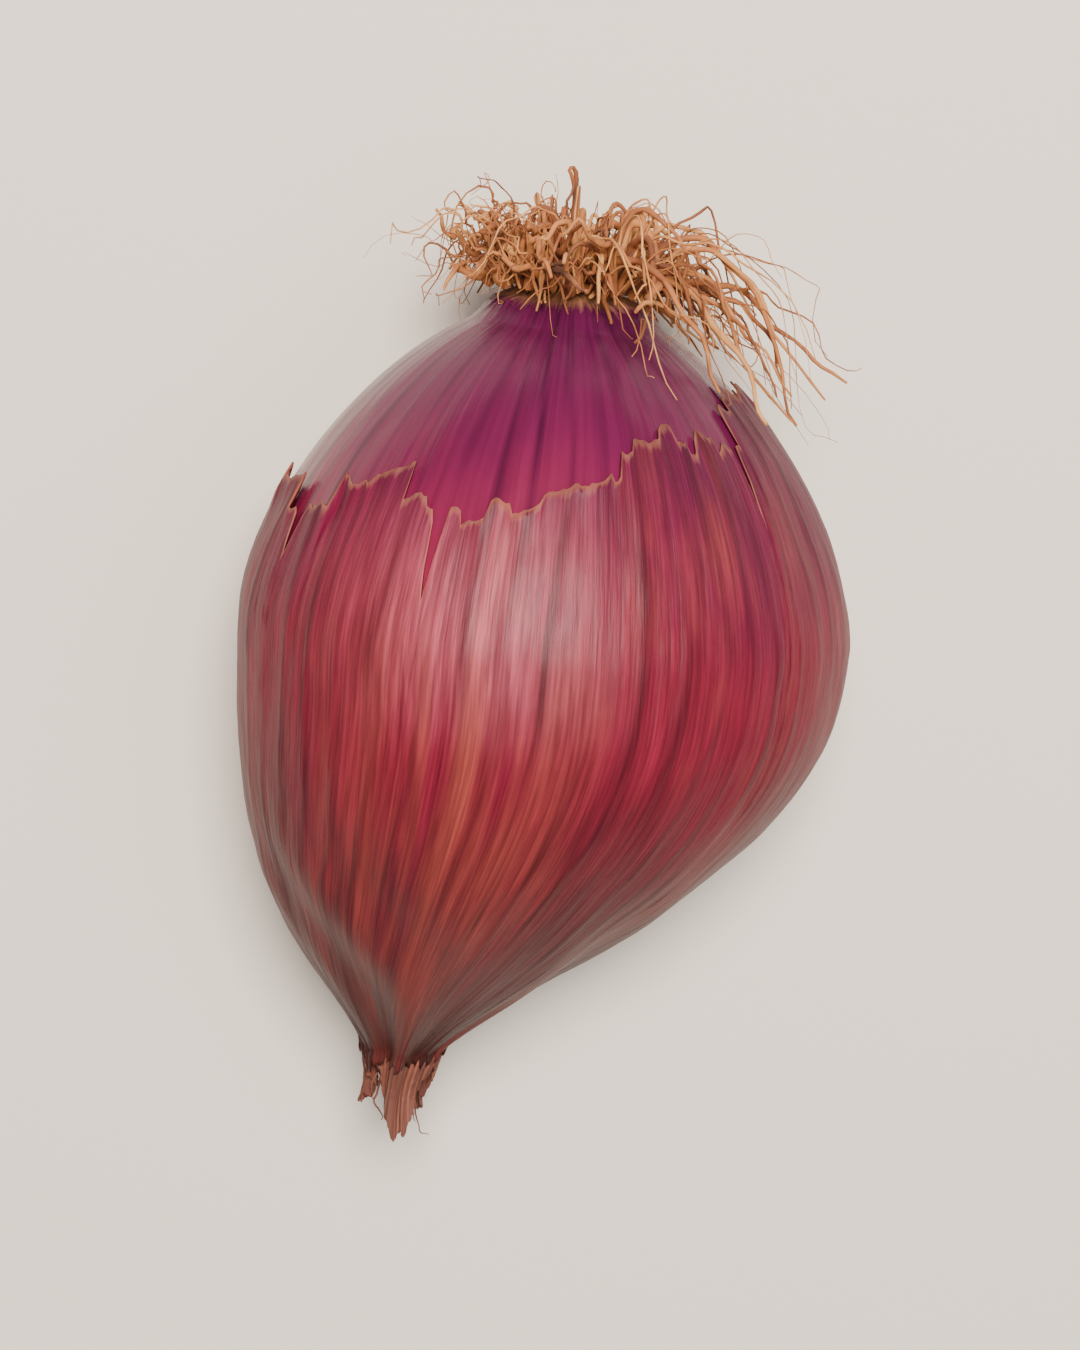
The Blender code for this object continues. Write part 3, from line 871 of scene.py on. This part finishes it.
def makeFloor():
    side = setting["floorSize"] / 2
    mesh = bpy.data.meshes.new("floor")
    mesh.from_pydata([(-side, -side, 0), (side, -side, 0), (side, side, 0), (-side, side, 0)],
                     [], [(0, 1, 2, 3)])
    floor = bpy.data.objects.new("floor", mesh)
    bpy.context.scene.collection.objects.link(floor)
    material, tree, shader = newMaterial("palePaintedBoard")
    shader.inputs["Base Color"].default_value = hexColour(setting["floor"])
    shader.inputs["Roughness"].default_value = 0.8
    shader.inputs["Specular IOR Level"].default_value = 0  # dead matt, so even to the horizon
    mesh.materials.append(material)
    floor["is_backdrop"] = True


def addSoftbox():  # a round one above the roots, turned to the shallot
    lamp = bpy.data.lights.new("softboxAbove", "AREA")
    lamp.shape = "DISK"
    lamp.size = setting["softboxSize"]
    lamp.energy = setting["softboxWatts"]
    lamp.color = hexColour(setting["softboxColour"])[:3]
    light = bpy.data.objects.new("softboxAbove", lamp)
    light.location = setting["softboxPlace"]
    aim = Vector((0, 0, 0.01)) - light.location
    light.rotation_euler = aim.to_track_quat("-Z", "Y").to_euler()
    bpy.context.scene.collection.objects.link(light)


def addSkylight():  # lights the whole floor evenly, from above and a little to the left
    lamp = bpy.data.lights.new("skylight", "SUN")
    lamp.energy = setting["skyStrength"]
    lamp.angle = math.radians(setting["skyAngleDegrees"])
    light = bpy.data.objects.new("skylight", lamp)
    light.rotation_euler = (*[math.radians(turn) for turn in setting["skyTurnDegrees"]], 0)
    bpy.context.scene.collection.objects.link(light)


def makeCamera():  # looks down on the shallot, with its roots at the top
    lens = bpy.data.cameras.new("camera")
    lens.lens = setting["lensMm"]
    lens.sensor_width = setting["sensorMm"]
    lens.clip_start = 0.01
    camera = bpy.data.objects.new("camera", lens)
    bpy.context.scene.collection.objects.link(camera)
    low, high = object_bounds()
    centre = (low + high) / 2
    distance = setting["frameHeight"] * lens.lens / lens.sensor_width
    tilt = math.radians(setting["tiltDegrees"])
    roll = math.radians(setting["rollDegrees"])
    back = Vector((-math.sin(tilt), 0, math.cos(tilt)))
    upward = Vector((-math.cos(roll), -math.sin(roll), 0))
    right = upward.cross(back).normalized()
    upward = back.cross(right)
    turn = Matrix((right, upward, back)).transposed()
    camera.matrix_world = Matrix.Translation(centre + back * distance) @ turn.to_4x4()
    bpy.context.scene.camera = camera


def makeWorld():  # a dim room, whose walls look as pale as the floor
    world = bpy.data.worlds.new("studio")
    world.use_nodes = True
    tree = world.node_tree
    background = tree.nodes["Background"]
    background.inputs["Color"].default_value = hexColour(setting["world"])
    seen = addNode(tree, "ShaderNodeLightPath").outputs["Is Camera Ray"]
    strength = addNode(tree, rangeNode, {
        "Value": seen, "To Min": setting["worldStrength"], "To Max": setting["wallStrength"]})
    tree.links.new(strength.outputs[0], background.inputs["Strength"])
    bpy.context.scene.world = world


makeFloor()
makeWorld()
addSoftbox()
addSkylight()
makeCamera()
print("floor, light and camera are set")
